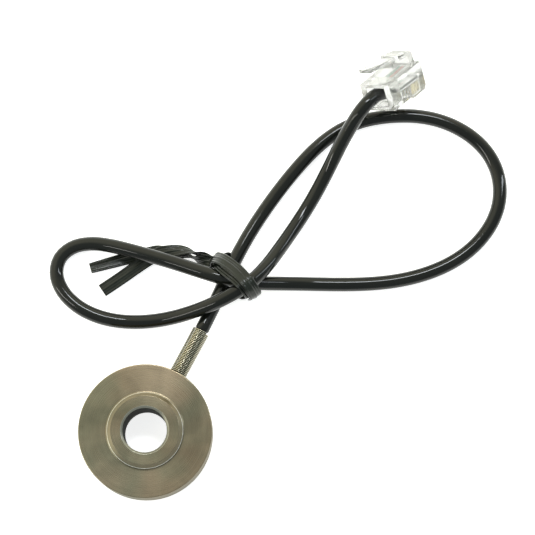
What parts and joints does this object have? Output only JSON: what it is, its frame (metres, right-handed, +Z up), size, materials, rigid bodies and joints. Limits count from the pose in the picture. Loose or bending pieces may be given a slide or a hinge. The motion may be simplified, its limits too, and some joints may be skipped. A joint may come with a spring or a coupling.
{
  "type": "strain gauge load cell",
  "caption": "Round through-hole load cell: turned steel disc with a raised collar, a spring strain relief, a tied round cord and a clear modular plug.",
  "frame": {"origin": "centre of the disc's underside, on the plane that the disc and the cord rest on", "axes": "+Z up along the bore axis, +X to the right and +Y away from the viewer as pictured; the cord leaves the disc between +X and +Y"},
  "size_m": [0.0983, 0.0964, 0.0178],
  "materials": {
    "turned_steel": "satin turned",
    "cover_steel": "satin",
    "gauge_film": "amber film",
    "gauge_foil": "etched foil",
    "board": "coated board",
    "brass": "tinned brass",
    "resistor": "moulded",
    "enamelled_copper": "enamelled wire",
    "core_red": "wire insulation",
    "core_black": "wire insulation",
    "core_green": "wire insulation",
    "core_white": "wire insulation",
    "spring_wire": "drawn wire",
    "black_jacket": "gloss jacket",
    "tie_plastic": "satin ribbed ribbon",
    "clear_plastic": "clear moulded",
    "contact_gold": "plated"
  },
  "bodies": {
    "root": {"sensing_body": "turned_steel", "bottom_cover": "cover_steel", "gauge_film_1": "gauge_film", "gauge_film_2": "gauge_film", "gauge_film_3": "gauge_film", "gauge_film_4": "gauge_film", "gauge_grid_1": "gauge_foil", "gauge_grid_2": "gauge_foil", "gauge_grid_3": "gauge_foil", "gauge_grid_4": "gauge_foil", "terminal_board": "board", "solder_pad_1": "brass", "solder_pad_2": "brass", "solder_pad_3": "brass", "solder_pad_4": "brass", "trim_resistor_1": "resistor", "trim_resistor_2": "resistor", "bridge_wire_1": "enamelled_copper", "bridge_wire_2": "enamelled_copper", "bridge_wire_3": "enamelled_copper", "bridge_wire_4": "enamelled_copper", "bridge_wire_5": "enamelled_copper", "lead_red": "core_red", "lead_black": "core_black", "lead_green": "core_green", "lead_white": "core_white", "cable_ferrule": "brass", "strain_relief_spring": "spring_wire", "cable": "black_jacket", "cable_tie": "tie_plastic", "plug_housing": "clear_plastic", "plug_contact_1": "contact_gold", "plug_contact_2": "contact_gold", "plug_contact_3": "contact_gold", "plug_contact_4": "contact_gold", "plug_core_red": "core_red", "plug_core_black": "core_black", "plug_core_green": "core_green", "plug_core_white": "core_white"}
  },
  "joints": []
}
